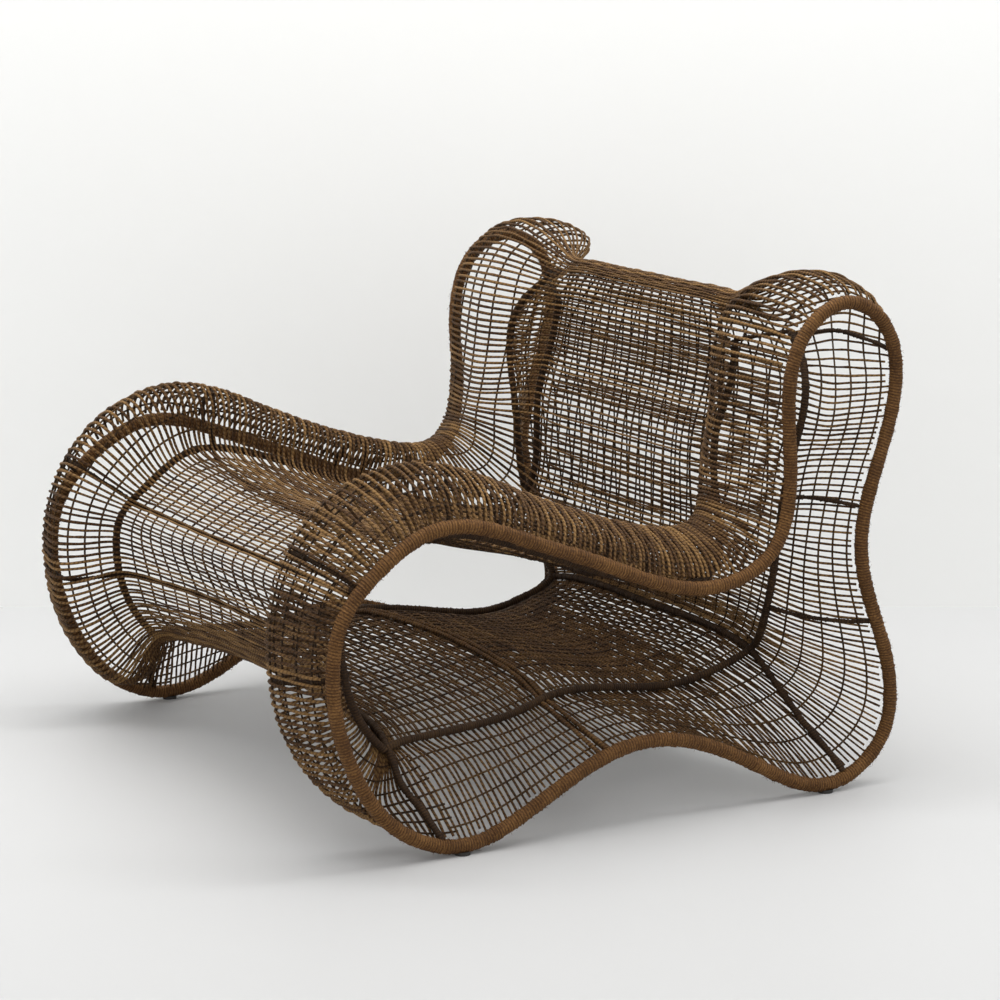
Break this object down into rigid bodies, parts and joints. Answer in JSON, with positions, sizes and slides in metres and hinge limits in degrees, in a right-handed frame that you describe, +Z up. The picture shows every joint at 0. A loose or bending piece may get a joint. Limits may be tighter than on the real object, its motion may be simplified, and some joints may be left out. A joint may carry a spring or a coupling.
{
  "type": "woven lounge chair",
  "caption": "Low lounge chair woven as one rolling band of brown natural twine over a wrapped frame, with rolled arms, winged back and arched base.",
  "frame": {"origin": "on the floor, under the middle of the chair's overall box", "axes": "-Y points out of the chair's front, +Z up, X across from arm to arm; the chair is symmetric about X = 0"},
  "size_m": [0.974, 0.9531, 0.7394],
  "materials": {
    "weave_skin": "woven twisted natural fibre cord, matt",
    "rim_wrap": "tightly wound natural fibre twine, matt",
    "rib_wrap": "wound natural fibre cord, matt",
    "steel": "painted round steel bar",
    "glide": "moulded dark plastic"
  },
  "bodies": {
    "root": {"back_ties": "rib_wrap", "glides": "glide", "inner_tube_left_back": "rib_wrap", "inner_tube_left_floor": "rib_wrap", "inner_tube_left_front": "rib_wrap", "inner_tube_left_rear": "rib_wrap", "inner_tube_left_seat": "rib_wrap", "inner_tube_right_back": "rib_wrap", "inner_tube_right_floor": "rib_wrap", "inner_tube_right_front": "rib_wrap", "inner_tube_right_rear": "rib_wrap", "inner_tube_right_seat": "rib_wrap", "rear_spurs": "rib_wrap", "rib_arch_front": "rib_wrap", "rib_arch_rear": "rib_wrap", "rib_front_foot": "rib_wrap", "rib_front_lower": "rib_wrap", "rib_front_upper": "rib_wrap", "rib_heel": "rib_wrap", "rib_seat_front": "rib_wrap", "rib_seat_rear": "rib_wrap", "rim_left_arm_rail": "rim_wrap", "rim_left_floor_rail": "rim_wrap", "rim_left_front_bow": "rim_wrap", "rim_left_leg": "rim_wrap", "rim_left_wing_hoop": "rim_wrap", "rim_right_arm_rail": "rim_wrap", "rim_right_floor_rail": "rim_wrap", "rim_right_front_bow": "rim_wrap", "rim_right_leg": "rim_wrap", "rim_right_wing_hoop": "rim_wrap", "steel_core_left": "steel", "steel_core_right": "steel", "weave_back_left": "weave_skin", "weave_back_middle": "weave_skin", "weave_back_right": "weave_skin", "weave_floor_front_left": "weave_skin", "weave_floor_front_middle": "weave_skin", "weave_floor_front_right": "weave_skin", "weave_floor_rear_left": "weave_skin", "weave_floor_rear_middle": "weave_skin", "weave_floor_rear_right": "weave_skin", "weave_front_lower_left": "weave_skin", "weave_front_lower_middle": "weave_skin", "weave_front_lower_right": "weave_skin", "weave_front_upper_left": "weave_skin", "weave_front_upper_middle": "weave_skin", "weave_front_upper_right": "weave_skin", "weave_rear_lower_left": "weave_skin", "weave_rear_lower_middle": "weave_skin", "weave_rear_lower_right": "weave_skin", "weave_rear_upper_left": "weave_skin", "weave_rear_upper_middle": "weave_skin", "weave_rear_upper_right": "weave_skin", "weave_seat_left": "weave_skin", "weave_seat_middle": "weave_skin", "weave_seat_right": "weave_skin"}
  },
  "joints": []
}
